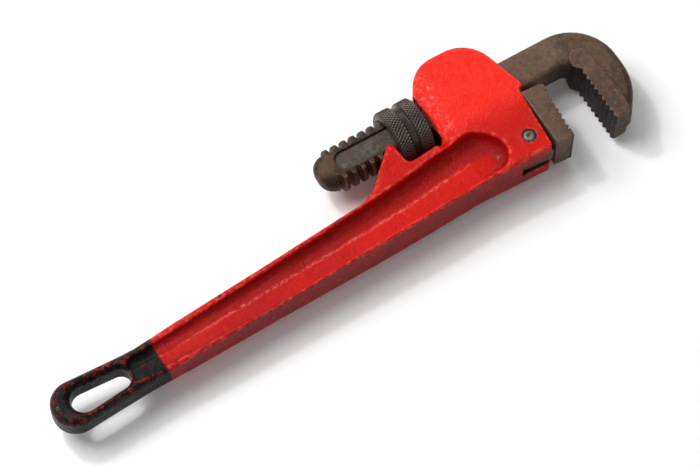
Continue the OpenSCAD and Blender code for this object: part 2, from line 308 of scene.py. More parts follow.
CAST_CELL, JAW_CELL = 0.6, 0.36         # spacing of the grids
half_housing = cast_hi[2]
handle_end = cast_lo[0]
LOOP_Y, LOOP_R = -58.4, 16.2            # the rounded end of the handle
HANG_SLOT = (-259.7, -58.8, 8.7), (-235.8, -58.4, 6.9)
WAIST_RUN, WAIST_Y, WAIST_H = 59, -58.0, 25.2       # the handle's narrowest place, 59 from its end
ROOT_X, ROOT_TOP, ROOT_BOTTOM = -45.0, -33.8, -64.2  # where the handle meets the housing
SPUR_X = -12.9                          # the horn behind the nut, forked around the shank
NOTCH_Y = -24.4                         # floor of the window the nut stands in
REAR_X, FRONT_X = 15.2, 70.9            # the housing's two faces
CASTING_Y = -61.8                       # its underside
STEP_Y, NOSE_Y = -16.6, -14.8           # the small nose above the heel jaw
ROLL_X, ROLL_R = 31, 27                 # where the dome's side starts to roll away, and its radius
FLOOR_Y, ROOF_Y = -15.1, 15.1           # the channel the shank slides in
CHANNEL_HALF = 9.6
FORK_X, FORK_DROP = -71, 4.4            # the fork's gap: where it starts, and its drop below the channel
LEAN = math.radians(4.3)                # of the housing's front face
ROCK = math.radians(4.0)                # of the channel's roof
SPUR_SLOPE = math.radians(44)
NOTCH_SLOPE = math.radians(4.8)
HEEL_Y = -60.5                          # the heel jaw's lower corner
SLOT_BACK, SLOT_TOP = -21.2, 26         # the slot for its tang, in its own frame
TANG_HALF = 5.5
PIN_X, PIN_Y, PIN_R = -10.3, 11.7, 4.0  # in the heel jaw's own frame


def front_at(y):
    """How far forward the housing's front face is at a height y."""
    return FRONT_X + (y - CASTING_Y) * math.tan(LEAN)


def to_heel(x, y):
    """Position in the heel jaw's own frame, which leans forward at the housing's face."""
    dx, dy = x - front_at(HEEL_Y), y - HEEL_Y
    return dx * math.cos(LEAN) - dy * math.sin(LEAN), dx * math.sin(LEAN) + dy * math.cos(LEAN)


def roof_at(x, clear=0.0):
    """Height of the channel's roof, which slopes so that the hook jaw can rock."""
    return ROOF_Y + clear + x * math.tan(ROCK)


def pin_hole(hx, hy, clear):
    """The field of the pin's hole, from a position in the heel jaw's own frame."""
    return np.hypot(hx - PIN_X, hy - PIN_Y) - (PIN_R + clear)


def level_at(x):
    """Half the casting's thickness at its flanges."""
    return np.interp(x, [-290, -200, -130, -70, -30, 25, 60],
                     [9.5, 9.5, 11, 13.3, 14.1, 14.7, half_housing])


def hollow_middle(x):
    """Height of the line that parts the hollow's tall upper wall from its flat strip."""
    return np.interp(x, [-230, -130, -30, 20, 45], [-58, -54, -47, -42, -42])


def ledge_at(x):
    """Height of the small step along the web."""
    return np.interp(x, [-200, -80, -30, 0, 20], [-56.5, -50.3, -47.5, -44.3, -41.8])


def casting_outline():
    """The casting seen from above, without its holes."""
    taper = math.atan((LOOP_R - WAIST_H / 2 + 0.4) / WAIST_RUN)
    end_r = LOOP_R * 0.98 * math.tan(math.radians(45) - taper / 2)
    waist_x = handle_end + WAIST_RUN
    dome = cast_hi[1]
    return rounded([
        (handle_end, LOOP_Y + LOOP_R, end_r),
        (waist_x, WAIST_Y + WAIST_H / 2, 60),
        (ROOT_X, ROOT_TOP, 30),
        (SPUR_X - 0.8, ROOT_TOP + (SPUR_X - 0.8 - ROOT_X) * math.tan(SPUR_SLOPE), 3),
        (SPUR_X + 0.5, NOTCH_Y - 0.5, 4),
        (REAR_X, NOTCH_Y - 0.5 + (REAR_X - SPUR_X - 0.5) * math.tan(NOTCH_SLOPE), 4),
        (REAR_X, dome, 22),
        (FRONT_X - 5.4, dome, 24),
        (front_at(NOSE_Y) + 4, NOSE_Y, 1.5),
        (front_at(STEP_Y), STEP_Y, 0),
        (FRONT_X, CASTING_Y, 3),
        (REAR_X + 4, CASTING_Y + 0.6, 60),
        (ROOT_X, ROOT_BOTTOM, 90),
        (waist_x, WAIST_Y - WAIST_H / 2, 60),
        (handle_end, LOOP_Y - LOOP_R, end_r)])


def hollow_outline():
    """The rim of the hollow beside the web."""
    return rounded([
        (-229, -51.2, 5), (-80, -39.3, 60), (-30, -34.5, 60), (0, -30.2, 40), (33, -25.5, 14),
        (47.5, -42, 14), (42, -58.2, 12), (10, -59.4, 60), (-30, -61.0, 60), (-130, -65.9, 60),
        (-229, -66.2, 5)])


def shank_channel(px, py):
    """The channel through the housing and the open fork behind it, seen from above."""
    step_x = front_at(STEP_Y) - 1.5
    ahead = 140
    channel = outline_field(px, py, np.array([
        (REAR_X - 1, FLOOR_Y), (step_x, FLOOR_Y), (step_x, STEP_Y - 0.2), (ahead, STEP_Y - 0.2),
        (ahead, roof_at(ahead)), (REAR_X - 1, roof_at(REAR_X - 1))]))
    fork = np.maximum(np.maximum(FORK_X - px, px - (REAR_X + 1)), (FLOOR_Y - FORK_DROP) - py)
    return np.minimum(channel, fork)


def casting():
    x, y, z = grid(cast_lo, cast_hi, CAST_CELL)
    px, py = x[:, :, 0], y[:, :, 0]
    outline = casting_outline()
    flat = outline_field(px, py, outline)
    flat = np.maximum(flat, -slot_field(px, py, *HANG_SLOT))

    # Thickness: the dome's side rolls away towards the nut
    level = level_at(px)
    away = np.clip(ROLL_X - px, 0, 20)
    dome_side = half_housing - (ROLL_R - np.sqrt(ROLL_R ** 2 - away ** 2))
    up = smooth_step(-29, -23, py) * smooth_step(8, 15, px)
    half = level * (1 - up) + dome_side * up
    edge = np.interp(px, [-240, -215, -190, 0, 40], [4.9, 4.4, 2.4, 2.2, 1.5])
    under_housing = smooth_step(-48, -58, py) * smooth_step(-30, 30, px) * smooth_step(72, 60, px)
    edge = edge + 1.2 * under_housing
    f = slab(flat[:, :, None], z, half[:, :, None], edge[:, :, None])

    # The hollow beside the web
    rim = hollow_outline()
    inner = outline_field(px, py, rim)
    big = np.maximum(smooth_step(-4, 4, py - hollow_middle(px)), smooth_step(24, 34, px))
    web = 5.1 + smooth_step(0.6, -0.6, py - ledge_at(px)) * smooth_step(30, 20, px)
    depth = half - web
    bend = np.minimum(2.0 + 6.0 * big, depth * 0.93)
    hollow = round_meet(inner[:, :, None], web[:, :, None] - z, bend[:, :, None])
    f = smooth_max(f, -hollow, 1.6)

    # The shank's channel and the heel jaw's slot
    f = smooth_max(f, -np.maximum(shank_channel(px, py)[:, :, None], z - CHANNEL_HALF), 0.9)
    hx, hy = to_heel(px, py)
    slot = box_field(hx, hy, SLOT_BACK, 40, -20, SLOT_TOP)
    f = smooth_max(f, -np.maximum(slot[:, :, None], z - (TANG_HALF + 0.15)), 0.9)

    # The two springs' pockets
    leaf_lo, leaf_hi = corners_of("flat_spring")
    pocket = box_field(px, py, leaf_lo[0] - 2.5, leaf_hi[0] + 0.6, 0, roof_at(px, 1.4))
    f = np.maximum(f, -np.maximum(pocket[:, :, None], z - leaf_hi[2] - 0.3))
    coil_lo, coil_hi = corners_of("coil_spring")
    mid = (coil_lo[0] + coil_hi[0]) / 2
    r = (coil_hi[0] - coil_lo[0]) / 2 + 0.5
    f = np.maximum(f, -np.maximum(np.maximum(np.hypot(x - mid, z) - r, -y), y - coil_hi[1]))

    f = np.maximum(f, -pin_hole(hx, hy, 0.05)[:, :, None])
    ob = body_from("casting", f, x, y, z, CAST_CELL)
    store_curvature(ob)

    # No paint reached the inside of the channel and the slot
    vx, vy, vz = places(ob)
    hx, hy = to_heel(vx, vy)
    from_middle = np.abs(vz)
    in_slot = (hx > SLOT_BACK - 0.4) & (hx < 40) & (hy < SLOT_TOP + 0.4) & (from_middle < TANG_HALF + 0.5)
    in_channel = (from_middle < CHANNEL_HALF + 0.3) & (vx > FORK_X)
    in_channel &= (vy > FLOOR_Y - FORK_DROP - 0.4) & (vy < roof_at(vx, 0.5))
    from_rim = outline_field(vx, vy, outline)
    store(ob, "bare", (from_rim < -0.9) & (in_slot | in_channel))

    # Painted shade on the hollow's tall wall and its front end, which face away from the light
    inner = outline_field(vx, vy, rim)
    front = smooth_step(26, 38, vx) * smooth_step(-13, -5, inner)
    shade = np.maximum(smooth_step(-3, 4, vy - hollow_middle(vx)), front)
    store(ob, "hollow_shade", smooth_step(0.2, -1.0, inner) * shade * (from_middle > 3))

    # The small step along the web, which gets painted glints
    on_ledge = smooth_step(1.5, 0.4, np.abs(vy - ledge_at(vx)))
    on_ledge = on_ledge * smooth_step(26, 18, vx) * smooth_step(-200, -150, vx)
    store(ob, "ledge", on_ledge * (from_middle < 6.6))

    # Painted shade on the outer side under the handle, which faces down, away from the light
    under = smooth_step(-50, -56, vy) * smooth_step(1.2, 0.2, -from_rim)
    store(ob, "shaded_flank", under * smooth_step(level_at(vx) - 0.4, level_at(vx) - 2.4, from_middle))
    return ob


# ---------------------------------------------------------------- jaws


def tooth_row(x_tips, y0, n, pitch, depth, side):
    """Corner points up a row of teeth whose tips point to side * X."""
    pts = []
    for i in range(n):
        pts += [(x_tips - side * depth, y0 + i * pitch), (x_tips, y0 + (i + 0.5) * pitch)]
    pts.append((x_tips - side * depth, y0 + n * pitch))
    return pts


TOOTH_PITCH, TOOTH_DEPTH = 4.4, 1.6
HEEL_TEETH, HOOK_TEETH = 7, 9
HEEL_LENGTH, HEEL_DEPTH = 42.2, 15.6    # along its teeth, and from the housing to the tips


def heel_jaw():
    lo, hi = corners_of("heel_jaw")
    x, y, z = grid(lo, hi, JAW_CELL)
    hx, hy = to_heel(x[:, :, 0], y[:, :, 0])
    row = HEEL_TEETH * TOOTH_PITCH
    first = (HEEL_LENGTH - row) / 2
    outline = [tuple(p) for p in rounded([
        (0.1, 0, 0.5), (HEEL_DEPTH, 0, 0.8), (HEEL_DEPTH, first - 1, 0)])]
    outline = outline[:-1] + [(HEEL_DEPTH, first - 0.01)]
    outline += tooth_row(HEEL_DEPTH, first, HEEL_TEETH, TOOTH_PITCH, TOOTH_DEPTH, 1)
    top = rounded([
        (HEEL_DEPTH, first + row, 0), (HEEL_DEPTH, HEEL_LENGTH, 3), (0.1, HEEL_LENGTH, 0.6), (0.1, 5, 0)])
    outline = np.array(outline + [tuple(p) for p in top[:-1]])
    block = slab(outline_field(hx, hy, outline)[:, :, None], z, hi[2], 0.6)
    tang = rounded([(-20.3, 0.6, 3), (2, 0.6, 0), (2, 23, 0), (-20.3, 23, 8)])
    tang = slab(outline_field(hx, hy, tang)[:, :, None], z, TANG_HALF, 0.5)
    f = np.minimum(block, tang)
    f = np.maximum(f, -pin_hole(hx, hy, 0.03)[:, :, None])
    ob = body_from("heel_jaw_forging", f, x, y, z, JAW_CELL)
    store_curvature(ob)
    vx, vy, vz = places(ob)
    hx, hy = to_heel(vx, vy)
    # Grime on the tooth faces, with painted shade, as they face away from the light
    on_teeth = smooth_step(HEEL_DEPTH - 2.0, HEEL_DEPTH - 1.4, hx)
    store(ob, "grime_and_shade", on_teeth * smooth_step(hi[2], hi[2] - 0.7, np.abs(vz)))
    return ob


ROOT_R, CREST_R, PITCH, PHASE = 12.0, 14.6, 6.6, 0.9    # the shank's thread
RIDGE_TOP, RIDGE_FOOT = PITCH / 3, PITCH * 0.59         # widths of its ridge
THREAD_FROM, THREAD_TO = -56, 43.5
SHANK_HALF = 9.0                        # the shank's sides are flattened to this
SHANK_END = 46                          # inside the hook
PANEL_HALF, PANEL_TO = 6.4, 44          # the sunk panel in each flat
HOOK_MOUTH = 29.0                       # from the tooth tips to the hook's far side


def thread_rise(x, y, z):
    """How far the shank's thread stands out, from 0 at its root to 1 at its crest."""
    turn = np.arctan2(z, y) / (2 * np.pi)
    u = (x - PHASE) / PITCH - turn
    away = np.abs(u - np.round(u)) * PITCH
    rise = np.clip((RIDGE_FOOT / 2 - away) / (RIDGE_FOOT / 2 - RIDGE_TOP / 2), 0, 1)
    return rise * smooth_step(THREAD_FROM, THREAD_FROM + 4, x) * smooth_step(THREAD_TO, THREAD_TO - 2.5, x)


ARM_FROM, ARM_TOP, ARM_BOTTOM = 30, 10.8, -13.8         # the arm that the shank turns into
GUM_X, GUM_Y = 1.6, -19.4               # behind the tips, and where the toothed block meets the throat


def hook_jaw():
    x, y, z = grid(hook_lo, hook_hi, JAW_CELL)
    px, py = x[:, :, 0], y[:, :, 0]
    right, bottom = hook_hi[0], hook_lo[1]
    tips = right - HOOK_MOUTH
    tooth_top = bottom + HOOK_TEETH * TOOTH_PITCH + 0.4

    # The arm and the hook's back
    outer = rounded([
        (ARM_FROM, ARM_TOP, 0), (right, ARM_TOP, 33), (right, bottom + 20.7, 41), (right - 15.6, bottom, 4),
        (tips + GUM_X, bottom, 0), (tips + GUM_X, tooth_top, 0), (tips - 2.6, GUM_Y, 2),
        (tips - 3.2, ARM_BOTTOM, 4.5), (ARM_FROM, ARM_BOTTOM, 0)])
    flat = outline_field(px, py, outer)
    into = smooth_step(tips - 18, tips + 4, px)
    half = (SHANK_HALF + 2.5 * into)[:, :, None]
    round_edge = (4.2 + 3.0 * into)[:, :, None]
    head = slab(flat[:, :, None], z, half, round_edge)

    # The thicker block that carries the teeth
    block = rounded([
        (tips - 2.4, -9.6, 6), (tips + 11.2, -9.6, 6), (tips + 14, bottom + 14, 10),
        (tips + 12.2, bottom, 4), (tips + GUM_X, bottom, 0)])
    block = [tuple(p) for p in block[:-1]]
    block += tooth_row(tips, bottom, HOOK_TEETH, TOOTH_PITCH, TOOTH_DEPTH, -1)
    block += [(tips + GUM_X, tooth_top), (tips - 2.6, GUM_Y)]
    block = slab(outline_field(px, py, np.array(block))[:, :, None], z, hook_hi[2], 0.9)
    f = smooth_min(head, block, 1.0)

    # The shank, with its thread, its flattened sides and its round end
    rad = np.hypot(y, z)
    rise = thread_rise(x, y, z)
    tail = hook_lo[0]
    shank = (rad - (ROOT_R + (CREST_R - ROOT_R) * rise)) * 0.8
    shank = np.maximum(shank, x - SHANK_END)
    shank = np.where(x < tail + 9, round_meet(rad - ROOT_R, tail - x, 9), shank)
    shank = round_meet(shank, z - SHANK_HALF, 0.3 + 6.7 * smooth_step(tail + 11, tail + 4, x))
    f = smooth_min(f, shank, 0.4)

    # The panel sunk in each flat
    panel_from = tail + 13.4
    rim = rounded([
        (panel_from, PANEL_HALF, 6), (PANEL_TO, PANEL_HALF, 6), (PANEL_TO, -PANEL_HALF, 6),
        (panel_from, -PANEL_HALF, 6)])
    panel = outline_field(px, py, rim)[:, :, None]
    f = smooth_max(f, -np.maximum(panel, (SHANK_HALF - 2) - z), 0.9)
    ob = body_from("hook_jaw_forging", f, x, y, z, JAW_CELL)
    store_curvature(ob)
    vx, vy, vz = places(ob)
    from_middle = np.abs(vz)
    # Grime on the teeth and in the throat, with painted shade, as they face away from the light
    on_teeth = smooth_step(tips + 2.6, tips + 1.6, vx) * (vy < -17)
    on_teeth = on_teeth * smooth_step(hook_hi[2] - 0.1, hook_hi[2] - 0.8, from_middle)
    throat = smooth_step(-10, -15, vy) * smooth_step(tips - 22, tips - 6, vx)
    throat = throat * smooth_step(11.4, 10.2, from_middle)
    sunk = (from_middle < SHANK_HALF - 1.2) & (from_middle > 6)
    store(ob, "panel", (outline_field(vx, vy, rim) < 0.2) & sunk)
    store(ob, "grime_and_shade", np.maximum(on_teeth, 0.6 * throat) * (vx > 60))
    return ob


# ---------------------------------------------------------------- turned pieces


def lathe(profile, turns, lift=None):
    """A closed ring from a closed profile of (radius, x), turned about the X axis.

    lift, where given, works out a point's radius from its radius, x and angle.
    """
    n = len(profile)
    t = np.arange(turns) * 2 * np.pi / turns
    r = np.repeat(profile[:, 0][:, None], turns, 1)
    x = np.repeat(profile[:, 1][:, None], turns, 1)
    tt = np.repeat(t[None], n, 0)
    if lift is not None:
        r = lift(r, x, tt)
    verts = np.stack([x, r * np.cos(tt), r * np.sin(tt)], -1).reshape(-1, 3)
    i, j = np.meshgrid(np.arange(n), np.arange(turns), indexing="ij")
    i2, j2 = (i + 1) % n, (j + 1) % turns
    quads = np.stack([i * turns + j, i2 * turns + j, i2 * turns + j2, i * turns + j2], -1)
    return verts, quads.reshape(-1, 4)


def fine(profile, step):
    """The same closed profile with points no further apart than step."""
    out = []
    for a, b in zip(profile, np.roll(profile, -1, axis=0)):
        k = max(1, math.ceil(np.linalg.norm(b - a) / step))
        out += [a + (b - a) * i / k for i in range(k)]
    return np.array(out)


KNURLS, KNURL_STEP, KNURL_DEPTH = 52, 3.1, 0.75     # grooves around, spacing along, depth
GROOVE_HALF = 2.1                       # the plain groove around the nut's middle
NUT_TURNS, NUT_STEP = 624, 0.27         # points around the nut, and spacing along its profile


def adjusting_nut():
    h, r = nut_hi[0] - CENTRE[0], nut_hi[1] - CENTRE[1]
    g, bore = GROOVE_HALF, CREST_R + 0.3
    profile = rounded([
        (bore + 0.8, -h, 0), (r - 1.5, -h, 0.5), (r, -h + 1.2, 0.5), (r, -g - 0.5, 0.5),
        (r - 1.6, -g + 0.2, 0.5), (r - 1.6, g - 0.2, 0.5), (r, g + 0.5, 0.5), (r, h - 1.2, 0.5),
        (r - 1.5, h, 0.5), (bore + 0.8, h, 0), (bore, h - 0.8, 0), (bore, -h + 0.8, 0)], step=20)
    profile = fine(profile, NUT_STEP)

    def lift(rr, x, t):
        band = smooth_step(g + 0.3, g + 1.0, np.abs(x)) * smooth_step(h - 0.7, h - 1.4, np.abs(x))
        band = band * (rr > r - 1.2)
        a = t * KNURLS / (2 * np.pi)
        u, v = a + x / KNURL_STEP, a - x / KNURL_STEP
        ridge = np.minimum(np.abs(u - np.round(u)), np.abs(v - np.round(v))) * 2
        rr = rr - band * KNURL_DEPTH * (1 - np.clip(ridge * 1.35, 0, 1))
        # The nut's thread fills the space between the shank's ridges
        s = (x - PHASE) / PITCH - t / (2 * np.pi) - 0.5
        away = np.abs(s - np.round(s)) * PITCH
        foot = (PITCH - RIDGE_TOP) / 2 - 0.2
        tip = (PITCH - RIDGE_FOOT) / 2 - 0.3
        rise = np.clip((foot - away) / (foot - tip), 0, 1) * smooth_step(h - 1.5, h - 3.2, np.abs(x))
        return np.where(rr < bore + 0.01, rr - 2.4 * rise, rr)

    verts, quads = lathe(profile, NUT_TURNS, lift)
    ob = make_object("knurled_nut", verts, quads)
    store_curvature(ob, 1)
    return ob


def pin():
    lo, hi = corners_of("heel_jaw_pin")
    half = hi[2]
    profile = rounded([
        (0.02, -half + 0.9, 0), (1.0, -half + 0.8, 0.4), (1.6, -half + 0.1, 0.3), (2.9, -half, 0.8),
        (PIN_R, -half + 1.0, 0.8), (PIN_R, half - 1.0, 0.8), (2.9, half, 0.8), (1.6, half - 0.1, 0.3),
        (1.0, half - 0.8, 0.4), (0.02, half - 0.9, 0)], step=20)
    verts, quads = lathe(profile, 64)
    verts = verts[:, [1, 2, 0]]         # its axis points up
    mid = (lo + hi) / 2
    verts = verts + np.array([mid[0], mid[1], 0])
    ob = make_object("riveted_pin", verts, quads)
    store_curvature(ob, 1)
    return ob


def coil():
    lo, hi = corners_of("coil_spring")
    mid = (lo + hi) / 2
    wire, turns, steps, sides = 1.3, 5, 48, 14
    r = (hi[0] - lo[0] - wire) / 2
    y0, y1 = lo[1] + wire / 2, hi[1] - wire / 2
    closed = 0.13                       # rise of the closed turn at each end, as part of the whole
    n = turns * steps
    i = np.arange(n + 1)
    a = i * 2 * np.pi / steps
    t = i / n
    rise = y0 + (y1 - y0) * np.interp(t, [0, 1 / turns, 1 - 1 / turns, 1], [0, closed, 1 - closed, 1])
    b = np.arange(sides) * 2 * np.pi / sides
    q = r + wire / 2 * np.cos(b)[None]
    verts = np.stack([
        mid[0] + q * np.cos(a)[:, None],
        rise[:, None] + wire / 2 * np.sin(b)[None] + 0 * q,
        -q * np.sin(a)[:, None]], -1).reshape(-1, 3)
    i, j = np.meshgrid(np.arange(n), np.arange(sides), indexing="ij")
    j2 = (j + 1) % sides
    quads = np.stack([i * sides + j, i * sides + j2, (i + 1) * sides + j2, (i + 1) * sides + j], -1)
    return make_capped("wound_spring", verts, quads.reshape(-1, 4), sides, n)


def make_capped(name, verts, quads, sides, n):
    """An object from a tube of n lengths, with a flat face put over each end."""
    ob = make_object(name, verts, quads)
    bm = bmesh.new()
    bm.from_mesh(ob.data)
    bm.verts.ensure_lookup_table()
    bm.faces.new([bm.verts[j] for j in reversed(range(sides))])
    bm.faces.new([bm.verts[n * sides + j] for j in range(sides)])
    bmesh.ops.recalc_face_normals(bm, faces=bm.faces)
    bm.to_mesh(ob.data)
    bm.free()
    return ob


# ---------------------------------------------------------------- materials


class Look:
    """A small helper that wires up one node material."""

    def __init__(self, name):
        self.mat = bpy.data.materials.new(name)
        self.mat.use_nodes = True
        self.tree = self.mat.node_tree
        self.shader = self.tree.nodes["Principled BSDF"]
        self.place = self.node("ShaderNodeTexCoord").outputs["Object"]
        self.edge = self.value("edge")

    def node(self, kind, **props):
        n = self.tree.nodes.new(kind)
        for k, v in props.items():
            setattr(n, k, v)
        return n

    def put(self, socket, value):
        if isinstance(value, bpy.types.NodeSocket):
            self.tree.links.new(value, socket)
        else:
            socket.default_value = value

    def noise(self, scale, detail=3.0, rough=0.55):
        n = self.node("ShaderNodeTexNoise")
        self.put(n.inputs["Vector"], self.place)
        n.inputs["Scale"].default_value = scale
        n.inputs["Detail"].default_value = detail
        n.inputs["Roughness"].default_value = rough
        return n.outputs["Fac"]

    def math(self, op, a, b):
        n = self.node("ShaderNodeMath", operation=op)
        self.put(n.inputs[0], a)
        self.put(n.inputs[1], b)
        return n.outputs[0]

    def span(self, v, lo, hi, out_lo=0.0, out_hi=1.0):
        """Runs smoothly from out_lo where v is lo to out_hi where v is hi."""
        n = self.node("ShaderNodeMapRange", interpolation_type="SMOOTHSTEP")
        self.put(n.inputs["Value"], v)
        n.inputs["From Min"].default_value = lo
        n.inputs["From Max"].default_value = hi
        n.inputs["To Min"].default_value = out_lo
        n.inputs["To Max"].default_value = out_hi
        return n.outputs["Result"]

    def mix(self, fac, a, b):
        n = self.node("ShaderNodeMix", data_type="RGBA")
        self.put(n.inputs["Factor"], fac)
        self.put(n.inputs["A"], a if isinstance(a, bpy.types.NodeSocket) else (*a, 1.0))
        self.put(n.inputs["B"], b if isinstance(b, bpy.types.NodeSocket) else (*b, 1.0))
        return n.outputs["Result"]

    def axis(self, which):
        n = self.node("ShaderNodeSeparateXYZ")
        self.put(n.inputs[0], self.place)
        return n.outputs[which]

    def bump(self, height, strength, distance, normal=None):
        n = self.node("ShaderNodeBump")
        n.inputs["Strength"].default_value = strength
        n.inputs["Distance"].default_value = distance
        self.put(n.inputs["Height"], height)
        if normal is not None:
            self.put(n.inputs["Normal"], normal)
        return n.outputs["Normal"]

    def value(self, name):
        """A number stored for each vertex."""
        return self.node("ShaderNodeAttribute", attribute_name=name).outputs["Fac"]

    def finish(self, colour, rough, normal, metallic=0.0, specular=0.5):
        self.put(self.shader.inputs["Base Color"], colour)
        self.put(self.shader.inputs["Roughness"], rough)
        self.put(self.shader.inputs["Normal"], normal)
        self.put(self.shader.inputs["Metallic"], metallic)
        self.put(self.shader.inputs["Specular IOR Level"], specular)
        return self.mat


DIP_X = -207.5          # where the black dip on the handle's end stops, about the nut


def paint_look():
    k = Look("worn red paint")
    big = k.noise(18, 3)
    mid = k.noise(90, 4)
    small = k.noise(420, 3)
    x = k.axis(0)
    y = k.axis(1)
    red = k.mix(k.span(big, 0.35, 0.65), (0.42, 0.0032, 0.0012), (0.55, 0.0058, 0.0018))
    # Painted light: the dome's red is lighter, as if it lay nearest the lamps, and the handle's is darker
    lit_dome = k.math("MULTIPLY", k.span(x, (CENTRE[0] + 2) * MM, (CENTRE[0] + 26) * MM),
                   k.span(y, (CENTRE[1] - 34) * MM, (CENTRE[1] - 8) * MM))
    bright = k.mix(k.span(mid, 0.3, 0.7), (0.78, 0.0110, 0.0030), (0.88, 0.0150, 0.0045))
    red = k.mix(lit_dome, red, bright)
    # Painted shade on the hollow's tall wall and its front end
    red = k.mix(k.math("MULTIPLY", k.value("hollow_shade"), 0.62), red, (0.20, 0.0025, 0.002))
    # Painted shade: the red darkens towards the handle's end, away from the light
    far_handle_shade = k.span(x, (CENTRE[0] - 40) * MM, (CENTRE[0] - 190) * MM, 0, 0.45)
    red = k.mix(far_handle_shade, red, (0.34, 0.005, 0.004))
    # Painted shade in the hollows, and on the sides that face down and away from the light
    red = k.mix(k.span(k.edge, -0.02, -0.25, 0, 0.55), red, (0.16, 0.003, 0.003))
    # Painted shade on the side under the handle, which faces away from the light
    shaded_flank = k.math("MULTIPLY", k.value("shaded_flank"), k.span(mid, 0.25, 0.7, 0.45, 0.85))
    red = k.mix(shaded_flank, red, (0.15, 0.009, 0.013))
    # Painted highlights: pale glints, broken up, along the rims
    rim = k.math("MULTIPLY", k.span(k.edge, 0.05, 0.20), k.span(k.noise(300, 5, 0.7), 0.47, 0.58, 0, 0.42))
    red = k.mix(rim, red, (0.93, 0.10, 0.065))
    # Painted highlights: glints along the small step on the web
    ledge_glint = k.math("MULTIPLY", k.value("ledge"), k.span(k.noise(520, 4, 0.7), 0.50, 0.58, 0, 0.55))
    red = k.mix(ledge_glint, red, (0.93, 0.20, 0.15))
    # The dipped end
    limit = (CENTRE[0] + DIP_X) * MM
    wavy = k.math("ADD", x, k.math("MULTIPLY", k.math("SUBTRACT", mid, 0.5), 0.004))
    dip = k.span(wavy, limit + 0.0006, limit - 0.0006)
    speckle = k.noise(340, 5, 0.7)
    worn = k.math("MULTIPLY", k.span(k.edge, 0.05, 0.28), k.span(speckle, 0.50, 0.58, 0, 0.9))
    spots = k.math("MULTIPLY", k.span(speckle, 0.63, 0.67), k.span(mid, 0.48, 0.56, 0, 0.7))
    worn = k.math("MAXIMUM", worn, spots)
    dark = k.mix(worn, (0.0035, 0.0030, 0.0032), (0.24, 0.012, 0.008))
    colour = k.mix(dip, red, dark)
    # Chips along the edges
    chip = k.math("MULTIPLY", k.span(k.edge, 0.16, 0.34), k.span(k.noise(130, 5, 0.7), 0.60, 0.64))
    flecks = k.span(k.noise(260, 4, 0.7), 0.725, 0.75)
    chip = k.math("MAXIMUM", chip, flecks)
    chip = k.math("MULTIPLY", chip, k.math("SUBTRACT", 1.0, dip))
    # The ring of broken paint round the pin
    pos = k.node("ShaderNodeVectorMath", operation="DISTANCE")
    k.put(pos.inputs[0], k.place)
    lo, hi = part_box("heel_jaw_pin")
    pos.inputs[1].default_value = ((lo.x + hi.x) / 2, (lo.y + hi.y) / 2, hi.z)
    ragged = k.math("MULTIPLY", k.math("SUBTRACT", k.noise(600, 2), 0.5), 0.0026)
    ring = k.math("ADD", pos.outputs["Value"], ragged)
    head = k.span(ring, 0.0048, 0.0045)
    colour = k.mix(k.span(ring, 0.0055, 0.0052, 0, 0.75), colour, (0.20, 0.035, 0.022))
    chip = k.math("MAXIMUM", chip, head)
    colour = k.mix(chip, colour, (0.040, 0.019, 0.013))
    bare = k.value("bare")
    colour = k.mix(bare, colour, k.mix(mid, (0.012, 0.008, 0.007), (0.035, 0.020, 0.014)))

    rough = k.span(big, 0.3, 0.7, 0.24, 0.36)
    rough = k.math("ADD", rough, k.math("MULTIPLY", k.math("MAXIMUM", chip, bare), 0.35))
    rough = k.math("ADD", rough, k.math("MULTIPLY", dip, 0.04))
    # Sand-cast skin under the paint: lumpy, and coarser on the web
    coarse = k.span(k.noise(260, 5, 0.7), 0.42, 0.66)
    n = k.bump(small, 0.20, 0.0004)
    n = k.bump(coarse, 0.55, 0.0006, n)
    n = k.bump(mid, 0.40, 0.0010, n)
    n = k.bump(chip, 0.5, -0.00018, n)
    k.put(k.shader.inputs["Coat Weight"], k.span(lit_dome, 0, 1, 0.20, 0.36))
    k.shader.inputs["Coat Roughness"].default_value = 0.07
    k.put(k.shader.inputs["Coat Normal"], k.bump(coarse, 0.60, 0.0006, k.bump(mid, 0.45, 0.0010)))
    return k.finish(colour, rough, n, specular=0.05)


